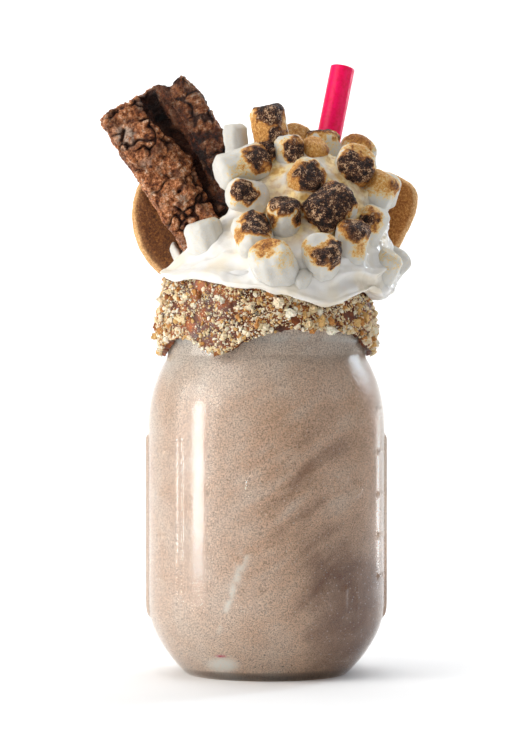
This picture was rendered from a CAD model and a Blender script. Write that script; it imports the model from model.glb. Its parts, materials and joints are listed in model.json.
"""Looks of a tall milkshake in a glass jar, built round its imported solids.

Every length is in metres, apart from those in tables of rows, which are in millimetres. Every heading
is in degrees round the jar's axis, from +X towards +Y. The front of the drink faces -Y, so its heading
is 270.
"""

from __future__ import annotations

import json
import logging
import math
from dataclasses import dataclass, field
from enum import Enum
from functools import cache
from typing import Protocol, Sequence

import bmesh
import bpy
import numpy as np
from mathutils import Matrix, Vector, noise
from mathutils.bvhtree import BVHTree

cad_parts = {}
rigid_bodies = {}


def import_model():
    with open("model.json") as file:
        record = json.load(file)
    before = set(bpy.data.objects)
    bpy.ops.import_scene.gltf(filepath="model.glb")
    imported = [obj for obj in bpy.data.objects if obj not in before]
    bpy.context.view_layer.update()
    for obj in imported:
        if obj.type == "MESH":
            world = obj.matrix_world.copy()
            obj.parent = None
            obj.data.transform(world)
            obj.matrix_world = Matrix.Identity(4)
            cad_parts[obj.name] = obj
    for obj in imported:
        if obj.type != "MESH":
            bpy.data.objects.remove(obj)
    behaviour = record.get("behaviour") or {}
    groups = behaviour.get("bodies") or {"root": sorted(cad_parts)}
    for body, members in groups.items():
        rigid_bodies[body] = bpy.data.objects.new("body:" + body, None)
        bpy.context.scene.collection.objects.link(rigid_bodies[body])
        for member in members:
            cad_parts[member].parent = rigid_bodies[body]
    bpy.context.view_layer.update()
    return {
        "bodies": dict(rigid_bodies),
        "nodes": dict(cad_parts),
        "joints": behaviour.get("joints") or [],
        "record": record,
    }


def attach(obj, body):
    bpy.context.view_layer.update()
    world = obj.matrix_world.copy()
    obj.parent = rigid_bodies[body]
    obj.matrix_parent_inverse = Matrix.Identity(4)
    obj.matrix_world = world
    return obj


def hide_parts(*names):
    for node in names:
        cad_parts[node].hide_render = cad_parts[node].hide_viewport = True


LOG = logging.getLogger("milkshake")
MM = 0.001
BODY = "root"
CRUMB_CUTS = 9

Rows = Sequence[tuple[float, ...]]
Colour = tuple[float, float, float]
Stops = Sequence[tuple[float, Colour]]
Socket = bpy.types.NodeSocket

WHITE: Colour = (1.0, 1.0, 1.0)
BLACK: Colour = (0.0, 0.0, 0.0)

# Where a node that mixes colours keeps its share, its two colours and its result.
MIX_SHARE, MIX_LOW, MIX_HIGH, MIX_RESULT = 0, 6, 7, 2


class Buildable(Protocol):
    """A sub-assembly, or the studio, that builds its own objects."""

    def build(self) -> None:
        """Build the objects."""


@dataclass(frozen=True)
class CrumbSize:
    """The smallest and largest radius of a crumb, how finely it is divided, and how many there are."""

    small: float
    large: float
    level: int
    count: int


class Crumb(Enum):
    """The kinds of crumb on the neck."""

    LARGE = CrumbSize(0.6 * MM, 1.6 * MM, 3, 320)
    MIDDLE = CrumbSize(0.36 * MM, 0.85 * MM, 2, 2450)
    SMALL = CrumbSize(0.2 * MM, 0.42 * MM, 1, 9600)
    FINE = CrumbSize(0.12 * MM, 0.24 * MM, 1, 9600)


# Numbers and points


def srgb(red: int, green: int, blue: int) -> Colour:
    """Turn a colour of 0 to 255 into the linear values that a shader takes.

    Args:
        red: Red share, 0 to 255.
        green: Green share, 0 to 255.
        blue: Blue share, 0 to 255.

    Returns:
        The linear colour.
    """
    shares = [value / 255 for value in (red, green, blue)]
    return tuple(s / 12.92 if s < 0.04045 else ((s + 0.055) / 1.055) ** 2.4 for s in shares)


def smooth_step(low: float, high: float, values: np.ndarray) -> np.ndarray:
    """Ease values from 0 at low to 1 at high.

    Args:
        low: Where the result starts to rise.
        high: Where the result reaches 1.
        values: What to ease.

    Returns:
        Values between 0 and 1.
    """
    share = np.clip((values - low) / (high - low), 0.0, 1.0)
    return share * share * (3 - 2 * share)


def round_table(rows: Rows, headings: np.ndarray, column: int) -> np.ndarray:
    """Read a table that goes once round the jar, along soft curves.

    Args:
        rows: Headings from 0 to 360 with their values.
        headings: Where to read it.
        column: Which value of a row to read.

    Returns:
        One value for each heading.
    """
    reach = 6
    fine = np.arange(0.0, 360.0, 1.0)
    table = np.interp(fine, [row[0] for row in rows], [row[column] for row in rows])
    blur = np.hanning(2 * reach + 1)
    blur /= blur.sum()
    table = np.convolve(np.concatenate((table[-reach:], table, table[:reach])), blur, "valid")
    return np.interp(np.mod(headings, 360.0), fine, table, period=360.0)


def lumps(points: np.ndarray, period: float, shift: float = 0.0) -> np.ndarray:
    """Read smooth noise, about -1 to 1, at each point.

    Args:
        points: Positions in metres, one row each.
        period: Rough size of a lump, in metres.
        shift: Moves to another part of the noise.

    Returns:
        One value for each point.
    """
    return np.array([noise.noise(place) for place in (points / period + shift).tolist()])


def cell_edges(points: np.ndarray, period: float, shift: float = 0.0) -> np.ndarray:
    """Measure how far each point is from the edge of its noise cell.

    Args:
        points: Positions in metres, one row each.
        period: Rough size of a cell, in metres.
        shift: Moves to another part of the noise.

    Returns:
        Distances in cell sizes, 0 on an edge.
    """
    found = []
    for place in (points / period + shift).tolist():
        distances = noise.voronoi(place)[0]
        found.append(distances[1] - distances[0])
    return np.array(found)


def even_headings(columns: int) -> np.ndarray:
    """Return headings spread evenly round the jar, one for each column."""
    return np.arange(columns) * 360 / columns


def polar(headings: np.ndarray, radii: np.ndarray, heights: np.ndarray) -> np.ndarray:
    """Turn headings, radii and heights into points.

    Args:
        headings: Headings in degrees.
        radii: Distances from the jar's axis.
        heights: Heights above its base.

    Returns:
        Points, with one more axis than the input.
    """
    turns = np.radians(headings)
    return np.stack(np.broadcast_arrays(radii * np.cos(turns), radii * np.sin(turns), heights), axis=-1)


# Meshes


def make_mesh(name: str, points: np.ndarray, faces: np.ndarray) -> bpy.types.Object:
    """Make an object from points and faces that all have the same number of corners.

    Args:
        name: The object's name.
        points: Positions in metres, one row each.
        faces: Corner numbers, one row for each face.

    Returns:
        The new object, shaded smooth.
    """
    mesh = bpy.data.meshes.new(name)
    mesh.vertices.add(len(points))
    mesh.vertices.foreach_set("co", np.asarray(points, dtype=np.float32).ravel())
    mesh.loops.add(faces.size)
    mesh.loops.foreach_set("vertex_index", np.asarray(faces, dtype=np.int32).ravel())
    mesh.polygons.add(len(faces))
    mesh.polygons.foreach_set("loop_start", np.arange(0, faces.size, faces.shape[1], dtype=np.int32))
    mesh.update(calc_edges=True)
    mesh.shade_smooth()
    made = bpy.data.objects.new(name, mesh)
    bpy.context.scene.collection.objects.link(made)
    return made


def grid_faces(rows: int, columns: int, wrap: bool) -> np.ndarray:
    """List the faces of a grid whose columns meet, and its rows too where wrap is true.

    Args:
        rows: Number of rows.
        columns: Number of points in a row.
        wrap: Whether the last row joins the first.

    Returns:
        Four corner numbers for each face.
    """
    lows = np.arange(rows if wrap else rows - 1)[:, None]
    across = np.arange(columns)[None, :]
    high = (lows + 1) % rows * columns
    after = (across + 1) % columns
    corners = [lows * columns + across, lows * columns + after, high + after, high + across]
    return np.stack(corners, axis=-1).reshape(-1, 4)


def turned_solid(name: str, grid: np.ndarray, wrap: bool = False) -> bpy.types.Object:
    """Make a closed object from rings of points, whose first ring is the lowest at the outside.

    Args:
        name: The object's name.
        grid: Points as rows, columns and coordinates.
        wrap: Whether the last ring joins the first. If not, both ends are capped.

    Returns:
        The new object.
    """
    rows, columns = grid.shape[:2]
    made = make_mesh(name, grid.reshape(-1, 3), grid_faces(rows, columns, wrap))
    shape = bmesh.new()
    shape.from_mesh(made.data)
    if not wrap:
        shape.verts.ensure_lookup_table()
        shape.faces.new([shape.verts[i] for i in reversed(range(columns))])
        shape.faces.new([shape.verts[(rows - 1) * columns + i] for i in range(columns)])
        ends = [face for face in shape.faces if len(face.verts) == columns]
        bmesh.ops.poke(shape, faces=ends)
    bmesh.ops.recalc_face_normals(shape, faces=shape.faces)
    shape.to_mesh(made.data)
    shape.free()
    made.data.shade_smooth()
    return made


def places_of(thing: bpy.types.Object) -> np.ndarray:
    """Read an object's points.

    Args:
        thing: The object.

    Returns:
        Positions in metres, one row each.
    """
    found = np.empty(len(thing.data.vertices) * 3, dtype=np.float32)
    thing.data.vertices.foreach_get("co", found)
    return found.reshape(-1, 3).astype(float)


def normals_of(thing: bpy.types.Object) -> np.ndarray:
    """Read the outward directions at an object's points.

    Args:
        thing: The object.

    Returns:
        Directions of length 1, one row each.
    """
    found = np.empty(len(thing.data.vertices) * 3, dtype=np.float32)
    thing.data.vertex_normals.foreach_get("vector", found)
    return found.reshape(-1, 3).astype(float)


def push_out(thing: bpy.types.Object, amounts: np.ndarray) -> None:
    """Move each point of an object outwards.

    Args:
        thing: The object.
        amounts: Distances in metres, one for each point.
    """
    moved = places_of(thing) + normals_of(thing) * amounts[:, None]
    thing.data.vertices.foreach_set("co", moved.astype(np.float32).ravel())
    thing.data.update()


def store(thing: bpy.types.Object, name: str, values: np.ndarray) -> None:
    """Keep one number for each point of an object, for its material.

    Args:
        thing: The object.
        name: The attribute's name.
        values: The numbers.
    """
    kept = thing.data.attributes.new(name, "FLOAT", "POINT")
    kept.data.foreach_set("value", values.astype(np.float32))


def store_colours(thing: bpy.types.Object, name: str, colours: np.ndarray) -> None:
    """Keep one colour for each point of an object, for its material.

    Args:
        thing: The object.
        name: The attribute's name.
        colours: Linear colours, one row each.
    """
    full = np.ones((len(colours), 4), dtype=np.float32)
    full[:, :3] = colours
    kept = thing.data.attributes.new(name, "FLOAT_COLOR", "POINT")
    kept.data.foreach_set("color", full.ravel())


def fine_copy(node: bpy.types.Object, name: str, size: float, rounds: int) -> bpy.types.Object:
    """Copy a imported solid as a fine, evenly meshed and softened shape.

    Args:
        node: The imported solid.
        name: The copy's name.
        size: Size of the copy's faces, in metres.
        rounds: How many times it is softened.

    Returns:
        The copy.
    """
    shape = bmesh.new()
    shape.from_mesh(node.data)
    bmesh.ops.remove_doubles(shape, verts=shape.verts, dist=0.002 * MM)
    mesh = bpy.data.meshes.new(name)
    shape.to_mesh(mesh)
    shape.free()
    if "custom_normal" in mesh.attributes:
        mesh.attributes.remove(mesh.attributes["custom_normal"])
    rough = bpy.data.objects.new(name + "_rough", mesh)
    bpy.context.scene.collection.objects.link(rough)
    remesh = rough.modifiers.new("even", "REMESH")
    remesh.mode = "VOXEL"
    remesh.voxel_size = size
    soften = rough.modifiers.new("soft", "SMOOTH")
    soften.factor = 0.5
    soften.iterations = rounds
    settled = rough.evaluated_get(bpy.context.evaluated_depsgraph_get())
    shaped = bpy.data.meshes.new_from_object(settled)
    shaped.name = name
    bpy.data.objects.remove(rough, do_unlink=True)
    made = bpy.data.objects.new(name, shaped)
    bpy.context.scene.collection.objects.link(made)
    shaped.materials.clear()
    shaped.shade_smooth()
    return made


def place_piece(piece: bpy.types.Object, finish: Finish, slot: str, *nodes: str) -> None:
    """Give a piece its finish and its place in the model.

    Args:
        piece: The piece.
        finish: What it is made of.
        slot: The record's material slot.
        nodes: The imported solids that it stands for.
    """
    piece.data.materials.clear()
    piece.data.materials.append(finish.material())
    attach(piece, BODY)
    if nodes:
        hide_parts(*nodes)
    LOG.info("%s: %d faces", piece.name, len(piece.data.polygons))


# Finishes


class Graph:
    """A material's node graph, with short ways to add nodes and join them."""

    def __init__(self, name: str) -> None:
        """Start a material with one shader.

        Args:
            name: The material's name.
        """
        self.made = bpy.data.materials.new(name)
        self.made.use_nodes = True
        self.tree = self.made.node_tree
        self.shader = self.tree.nodes["Principled BSDF"]

    def add(self, kind: str, **values: object) -> bpy.types.Node:
        """Add a node.

        Args:
            kind: The node's type name.
            values: Its settings.

        Returns:
            The node.
        """
        made = self.tree.nodes.new(kind)
        for name, value in values.items():
            setattr(made, name, value)
        return made

    def join(self, source: Socket, target: Socket) -> None:
        """Link one node's output to another's input."""
        self.tree.links.new(source, target)

    def here(self) -> Socket:
        """Return the position on the object, in metres."""
        return self.add("ShaderNodeTexCoord").outputs["Object"]

    def kept(self, name: str, output: str = "Fac") -> Socket:
        """Return an attribute that was stored on the mesh."""
        return self.add("ShaderNodeAttribute", attribute_name=name).outputs[output]

    def noise(self, period: float, detail: float = 2.0, rough: float = 0.5) -> Socket:
        """Return noise between 0 and 1.

        Args:
            period: Rough size of its lumps, in metres.
            detail: How many finer layers it has.
            rough: How strong those are.

        Returns:
            The noise's output.
        """
        made = self.add("ShaderNodeTexNoise")
        made.inputs["Scale"].default_value = 1 / period
        made.inputs["Detail"].default_value = detail
        made.inputs["Roughness"].default_value = rough
        self.join(self.here(), made.inputs["Vector"])
        return made.outputs["Fac"]

    def cells(self, period: float) -> Socket:
        """Return the distance to the nearest scattered dot, in cell sizes.

        Args:
            period: Rough distance between dots, in metres.

        Returns:
            The distance's output.
        """
        made = self.add("ShaderNodeTexVoronoi")
        made.inputs["Scale"].default_value = 1 / period
        self.join(self.here(), made.inputs["Vector"])
        return made.outputs["Distance"]

    def ramp(self, source: Socket, stops: Stops) -> Socket:
        """Turn a value into colours.

        Args:
            source: The value.
            stops: Places between 0 and 1, with their colours.

        Returns:
            The colour's output.
        """
        made = self.add("ShaderNodeValToRGB")
        while len(made.color_ramp.elements) < len(stops):
            made.color_ramp.elements.new(1.0)
        for element, (place, colour) in zip(made.color_ramp.elements, stops):
            element.position = place
            element.color = (*colour, 1.0)
        self.join(source, made.inputs["Fac"])
        return made.outputs["Color"]

    def spread(self, source: Socket, low: float, high: float, start: float, end: float) -> Socket:
        """Map a value's range to another.

        Args:
            source: The value.
            low: Where it starts.
            high: Where it ends.
            start: The result at low.
            end: The result at high.

        Returns:
            The result's output.
        """
        made = self.add("ShaderNodeMapRange")
        for name, value in (("From Min", low), ("From Max", high), ("To Min", start), ("To Max", end)):
            made.inputs[name].default_value = value
        self.join(source, made.inputs["Value"])
        return made.outputs["Result"]

    def blend(self, mode: str, share: float | Socket, low: Socket, high: Socket) -> Socket:
        """Blend two colours.

        Args:
            mode: How, such as MIX or MULTIPLY.
            share: How much of the second.
            low: The first colour.
            high: The second colour.

        Returns:
            The blend's output.
        """
        made = self.add("ShaderNodeMix", data_type="RGBA", blend_type=mode)
        if isinstance(share, float):
            made.inputs[MIX_SHARE].default_value = share
        else:
            self.join(share, made.inputs[MIX_SHARE])
        self.join(low, made.inputs[MIX_LOW])
        self.join(high, made.inputs[MIX_HIGH])
        return made.outputs[MIX_RESULT]

    def total(self, first: Socket, second: Socket, operation: str = "ADD") -> Socket:
        """Join two values by arithmetic.

        Args:
            first: One value.
            second: The other value.
            operation: What is done to them.

        Returns:
            The result's output.
        """
        made = self.add("ShaderNodeMath", operation=operation)
        self.join(first, made.inputs[0])
        self.join(second, made.inputs[1])
        return made.outputs[0]

    def bump(self, height: Socket, depth: float, strength: float = 1.0) -> None:
        """Give the shader fine relief.

        Args:
            height: The relief, 0 to 1.
            depth: Its depth in metres.
            strength: How much of it shows.
        """
        made = self.add("ShaderNodeBump")
        made.inputs["Strength"].default_value = strength
        made.inputs["Distance"].default_value = depth
        self.join(height, made.inputs["Height"])
        self.drive("Normal", made.outputs["Normal"])

    def drive(self, name: str, source: Socket) -> None:
        """Feed one of the shader's sockets from a node."""
        self.join(source, self.shader.inputs[name])

    def set(self, **values: object) -> None:
        """Set constant values on the shader, with _ for each space in a socket's name."""
        for name, value in values.items():
            self.shader.inputs[name.replace("_", " ")].default_value = value


@dataclass(frozen=True)
class Finish:
    """What a surface is made of."""

    name: str

    @cache
    def material(self) -> bpy.types.Material:
        """Return the finish's material, made once.

        Returns:
            The material.
        """
        graph = Graph(self.name)
        self.build(graph)
        return graph.made

    def build(self, graph: Graph) -> None:
        """Fill in the material's nodes."""
        raise NotImplementedError


@dataclass(frozen=True)
class ClearGlass(Finish):
    """Moulded clear glass, with the faint unevenness of a pressed jar and a little dew."""

    name: str = "moulded_glass"
    tint: Colour = (0.97, 0.985, 0.98)
    wave: float = 9 * MM
    dew: float = 0.6 * MM
    depth: float = 0.14 * MM

    def build(self, graph: Graph) -> None:
        """Fill in the material's nodes.

        Args:
            graph: The material's node graph.
        """
        graph.set(Base_Color=(*self.tint, 1), IOR=1.47, Transmission_Weight=1.0)
        graph.drive("Roughness", graph.spread(graph.noise(self.wave), 0.35, 0.7, 0.02, 0.06))
        dew = graph.total(graph.noise(self.dew, 2.0, 0.7), graph.kept("dewy"), "MULTIPLY")
        graph.bump(graph.total(graph.noise(self.wave, 4.0, 0.6), dew), self.depth, 0.8)


@dataclass(frozen=True)
class ShakeFinish(Finish):
    """Milky chocolate drink, with fine bubbles and dark specks against the glass."""

    name: str = "chocolate_shake"
    base: Colour = srgb(240, 202, 170)
    light: Colour = srgb(255, 241, 226)
    dark: Colour = srgb(134, 80, 38)
    speck: Colour = srgb(58, 34, 30)
    pale: Colour = srgb(250, 246, 236)
    straw: Colour = srgb(200, 30, 70)
    grain: Stops = ((0.34, (0.4, 0.34, 0.3)), (0.58, WHITE))
    cloud_size: float = 13 * MM
    grain_size: float = 0.36 * MM
    bubble_gap: float = 1.3 * MM
    speck_gap: float = 2.4 * MM

    def build(self, graph: Graph) -> None:
        """Fill in the material's nodes.

        Args:
            graph: The material's node graph.
        """
        uneven = graph.spread(graph.noise(self.cloud_size, 3.0), 0.3, 0.7, -0.14, 0.14)
        shade = graph.total(uneven, graph.kept("shade"))
        clouds = graph.ramp(shade, ((0.0, self.dark), (0.5, self.base), (1.0, self.light)))
        grain = graph.ramp(graph.noise(self.grain_size, 1.0, 0.7), self.grain)
        drink = graph.blend("MULTIPLY", 0.9, clouds, grain)
        bubbles = graph.ramp(graph.cells(self.bubble_gap), ((0.1, WHITE), (0.2, BLACK)))
        froth = graph.ramp(graph.noise(3 * MM), ((0.4, self.pale), (0.6, self.light)))
        drink = graph.blend("MIX", graph.spread(bubbles, 0, 1, 0, 0.5), drink, froth)
        dots = graph.ramp(graph.cells(self.speck_gap), ((0.1, WHITE), (0.16, BLACK)))
        shown = graph.ramp(graph.kept("specks"), ((0.0, BLACK), (1.0, WHITE)))
        dots = graph.blend("MULTIPLY", 1.0, dots, shown)
        cocoa = graph.ramp(graph.noise(3 * MM), ((0.4, self.speck), (0.6, self.dark)))
        drink = graph.blend("MIX", graph.spread(dots, 0, 1, 0, 0.85), drink, cocoa)
        milk = graph.ramp(graph.noise(0.7 * MM, 3.0), ((0.35, self.light), (0.5, self.pale)))
        drink = graph.blend("MIX", graph.kept("pale"), drink, milk)
        edge = graph.ramp(graph.noise(1 * MM), ((0.5, self.straw), (1.0, WHITE)))
        drink = graph.blend("MIX", graph.kept("red"), drink, edge)
        graph.drive("Base Color", drink)
        graph.set(Roughness=0.45)
        graph.bump(graph.noise(0.8 * MM, 3.0), 0.08 * MM, 0.4)


@dataclass(frozen=True)
class ChocolateFinish(Finish):
    """Chocolate spread, glossy where it is smooth."""

    name: str = "chocolate_spread"
    tints: Stops = ((0.32, srgb(48, 21, 8)), (0.5, srgb(96, 45, 18)), (0.72, srgb(178, 98, 44)))

    def build(self, graph: Graph) -> None:
        """Fill in the material's nodes.

        Args:
            graph: The material's node graph.
        """
        graph.drive("Base Color", graph.ramp(graph.noise(5 * MM, 4.0, 0.6), self.tints))
        graph.drive("Roughness", graph.spread(graph.noise(2.5 * MM, 2.0), 0.35, 0.65, 0.3, 0.6))
        graph.set(Subsurface_Weight=0.05, Subsurface_Scale=0.001, Specular_IOR_Level=0.35)
        graph.bump(graph.noise(0.9 * MM, 3.0), 0.25 * MM, 0.6)


@dataclass(frozen=True)
class CrumbFinish(Finish):
    """Baked biscuit crumb, each crumb with its own tint."""

    name: str = "biscuit_crumb"
    grain: Stops = ((0.3, (0.62, 0.55, 0.45)), (0.55, WHITE))

    def build(self, graph: Graph) -> None:
        """Fill in the material's nodes.

        Args:
            graph: The material's node graph.
        """
        grain = graph.ramp(graph.noise(0.5 * MM, 3.0, 0.65), self.grain)
        graph.drive("Base Color", graph.blend("MULTIPLY", 0.75, graph.kept("tint", "Color"), grain))
        graph.set(Roughness=0.82, Subsurface_Weight=0.08, Subsurface_Scale=0.0008)
        graph.bump(graph.noise(0.45 * MM, 4.0, 0.7), 0.4 * MM, 0.9)


@dataclass(frozen=True)
class CreamFinish(Finish):
    """Whipped cream, moist and slightly translucent, with gold where marshmallow has melted into it."""

    name: str = "moist_cream"
    plain: Stops = ((0.38, srgb(226, 217, 200)), (0.56, srgb(228, 225, 220)))
    melted: Stops = ((0.38, srgb(206, 162, 88)), (0.58, srgb(240, 214, 152)))

    def build(self, graph: Graph) -> None:
        """Fill in the material's nodes.

        Args:
            graph: The material's node graph.
        """
        plain = graph.ramp(graph.noise(9 * MM, 2.0), self.plain)
        melted = graph.ramp(graph.noise(2 * MM, 3.0), self.melted)
        graph.drive("Base Color", graph.blend("MIX", graph.kept("warm"), plain, melted))
        graph.drive("Roughness", graph.spread(graph.kept("wet"), 0.0, 1.0, 0.58, 0.2))
        graph.set(Subsurface_Weight=0.35, Subsurface_Scale=0.003, Subsurface_Radius=(1.0, 0.9, 0.75))
        graph.bump(graph.noise(0.8 * MM, 3.0), 0.12 * MM, 0.5)


@dataclass(frozen=True)
class MarshmallowFinish(Finish):
    """Dusted marshmallow, from white through gold and brown to char, as its toast attribute says."""

    name: str = "toasted_marshmallow"
    skin: Stops = (
        (0.07, srgb(207, 204, 197)), (0.18, srgb(228, 204, 150)), (0.3, srgb(218, 160, 82)),
        (0.45, srgb(172, 108, 50)), (0.62, srgb(98, 58, 32)), (0.8, srgb(60, 34, 24)),
        (1.0, srgb(46, 26, 20)),
    )
    char: Stops = (
        (0.36, srgb(22, 11, 9)), (0.48, srgb(58, 34, 24)), (0.57, srgb(122, 77, 47)),
        (0.66, srgb(228, 188, 146)),
    )

    def build(self, graph: Graph) -> None:
        """Fill in the material's nodes.

        Args:
            graph: The material's node graph.
        """
        grain = graph.spread(graph.noise(0.8 * MM, 5.0, 0.8), 0.3, 0.7, -0.2, 0.2)
        toast = graph.total(graph.kept("toast"), grain)
        skin = graph.ramp(toast, self.skin)
        speck = graph.spread(graph.noise(0.4 * MM, 1.0), 0.3, 0.7, -0.13, 0.13)
        char = graph.ramp(graph.total(graph.noise(2.2 * MM, 3.0, 0.6), speck), self.char)
        burnt = graph.spread(toast, 0.55, 0.75, 0.0, 0.9)
        graph.drive("Base Color", graph.blend("MIX", burnt, skin, char))
        graph.drive("Roughness", graph.spread(graph.noise(0.55 * MM, 2.0), 0.45, 0.62, 0.7, 0.3))
        graph.drive("Subsurface Weight", graph.spread(graph.kept("toast"), 0.0, 0.35, 0.25, 0.0))
        graph.set(Subsurface_Scale=0.0025, Subsurface_Radius=(1.0, 0.85, 0.65), Specular_IOR_Level=0.3)
        crisp = graph.spread(graph.kept("toast"), 0.1, 0.6, 0.2, 1.0)
        graph.bump(graph.total(graph.noise(0.7 * MM, 5.0, 0.75), crisp, "MULTIPLY"), 1.0 * MM)


@dataclass(frozen=True)
class BrownieFinish(Finish):
    """Baked brownie: a papery crackled crust over a dark moist crumb."""

    name: str = "brownie_crust"
    crust: Stops = (
        (0.36, srgb(62, 27, 11)), (0.46, srgb(156, 86, 42)), (0.55, srgb(222, 150, 98)),
        (0.63, srgb(255, 226, 198)),
    )
    crumb: Stops = ((0.34, srgb(14, 5, 3)), (0.5, srgb(52, 21, 9)), (0.66, srgb(122, 60, 28)))
    pale: Stops = ((0.35, srgb(120, 84, 66)), (0.5, srgb(206, 180, 160)))
    pits: Stops = ((0.1, (0.25, 0.2, 0.18)), (0.3, WHITE))
    cracks: Stops = ((0.0, WHITE), (0.8, (0.12, 0.08, 0.07)))
    grains: Stops = ((0.36, (0.42, 0.36, 0.32)), (0.48, (0.9, 0.88, 0.86)), (0.58, WHITE))

    def build(self, graph: Graph) -> None:
        """Fill in the material's nodes.

        Args:
            graph: The material's node graph.
        """
        crust = graph.ramp(graph.noise(2.2 * MM, 6.0, 0.8), self.crust)
        crumb = graph.ramp(graph.noise(1.6 * MM, 5.0, 0.7), self.crumb)
        pale = graph.ramp(graph.noise(1.3 * MM, 4.0, 0.6), self.pale)
        tint = graph.blend("MIX", graph.kept("crust"), crumb, crust)
        tint = graph.blend("MIX", graph.kept("pale"), tint, pale)
        tint = graph.blend("MULTIPLY", 0.8, tint, graph.ramp(graph.cells(1.5 * MM), self.pits))
        tint = graph.blend("MULTIPLY", 1.0, tint, graph.ramp(graph.kept("crack"), self.cracks))
        grains = graph.ramp(graph.noise(0.5 * MM, 3.0, 0.8), self.grains)
        graph.drive("Base Color", graph.blend("MULTIPLY", 0.9, tint, grains))
        graph.drive("Roughness", graph.spread(graph.noise(0.7 * MM, 3.0), 0.42, 0.62, 0.75, 0.28))
        graph.set(Specular_IOR_Level=0.32)
        graph.bump(graph.noise(0.8 * MM, 6.0, 0.8), 0.7 * MM)


@dataclass(frozen=True)
class BiscuitFinish(Finish):
    """Baked biscuit, brown on its faces and pale round its edge."""

    name: str = "baked_biscuit"
    light: Stops = ((0.35, srgb(112, 62, 18)), (0.5, srgb(164, 102, 42)), (0.65, srgb(206, 144, 74)))
    dark: Stops = ((0.35, srgb(54, 28, 6)), (0.5, srgb(100, 56, 18)), (0.65, srgb(152, 96, 42)))
    edge: Stops = ((0.35, srgb(176, 124, 68)), (0.5, srgb(206, 158, 100)), (0.65, srgb(230, 190, 136)))
    grain_size: float = 0.8 * MM

    def build(self, graph: Graph) -> None:
        """Fill in the material's nodes.

        Args:
            graph: The material's node graph.
        """
        light = graph.ramp(graph.noise(self.grain_size, 5.0, 0.8), self.light)
        dark = graph.ramp(graph.noise(self.grain_size, 5.0, 0.8), self.dark)
        face = graph.blend("MIX", graph.kept("baked"), light, dark)
        edge = graph.ramp(graph.noise(self.grain_size, 4.0, 0.7), self.edge)
        graph.drive("Base Color", graph.blend("MIX", graph.kept("pale"), face, edge))
        graph.set(Roughness=0.85, Subsurface_Weight=0.05, Subsurface_Scale=0.001)
        graph.bump(graph.noise(0.6 * MM, 4.0, 0.7), 0.3 * MM, 0.8)


@dataclass(frozen=True)
class StrawFinish(Finish):
    """Glossy crimson plastic."""

    name: str = "crimson_plastic"
    tints: Stops = ((0.35, srgb(238, 0, 76)), (0.6, srgb(252, 4, 96)))

    def build(self, graph: Graph) -> None:
        """Fill in the material's nodes.

        Args:
            graph: The material's node graph.
        """
        graph.drive("Base Color", graph.ramp(graph.noise(1.2 * MM, 3.0), self.tints))
        graph.set(Roughness=0.3, Subsurface_Weight=0.2, Subsurface_Scale=0.002, Specular_IOR_Level=0.3)
        graph.bump(graph.noise(2 * MM, 1.0), 0.02 * MM, 0.3)


@dataclass(frozen=True)
class FloorFinish(Finish):
    """Plain pale studio paper."""

    name: str = "studio_paper"
    tints: Stops = ((0.3, (0.93, 0.93, 0.93)), (0.7, (0.96, 0.96, 0.96)))

    def build(self, graph: Graph) -> None:
        """Fill in the material's nodes.

        Args:
            graph: The material's node graph.
        """
        graph.drive("Base Color", graph.ramp(graph.noise(60 * MM, 1.0), self.tints))
        graph.set(Roughness=0.9)


# Jar and drink


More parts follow.
